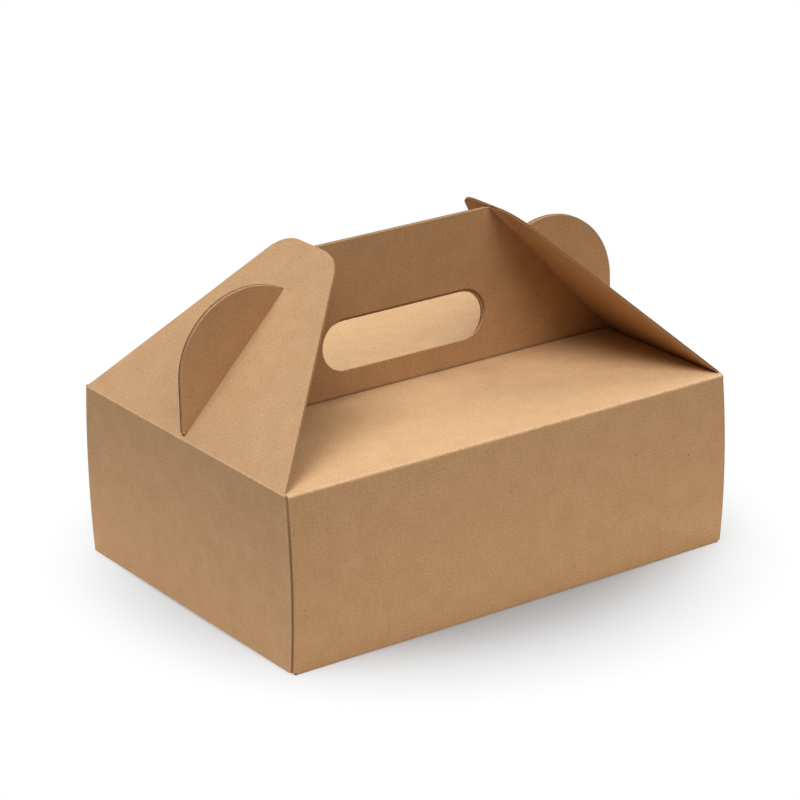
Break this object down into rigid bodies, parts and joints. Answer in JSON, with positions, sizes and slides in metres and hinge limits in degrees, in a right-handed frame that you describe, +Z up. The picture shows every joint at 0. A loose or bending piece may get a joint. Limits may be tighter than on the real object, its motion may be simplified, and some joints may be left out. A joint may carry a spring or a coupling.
{
  "type": "takeaway carry box",
  "caption": "Folded micro-flute board carry box with a double-ply hand grip whose ears pass through slits in the sloping end flaps and lock them shut.",
  "frame": {"origin": "centre of the base, on the surface that the box stands on", "axes": "+X along the box's length towards its right end flap, the front wall with the glued corner at its left on -Y, +Z up"},
  "size_m": [0.251, 0.181, 0.1646],
  "materials": {
    "kraft_board": "matt unbleached kraft liner on fine corrugated board"
  },
  "bodies": {
    "box": {"box_body": "kraft_board"},
    "left_flap": {"left_end_flap": "kraft_board"},
    "right_flap": {"right_end_flap": "kraft_board"}
  },
  "joints": [
    {"name": "left_flap_hinge", "type": "hinge", "parent": "box", "child": "left_flap", "pos_m": [-0.1245, 0, 0.08633], "axis": [0, -1, 0], "range_deg": [0, 135]},
    {"name": "right_flap_hinge", "type": "hinge", "parent": "box", "child": "right_flap", "pos_m": [0.1245, 0, 0.08633], "axis": [0, 1, 0], "range_deg": [0, 135]}
  ]
}
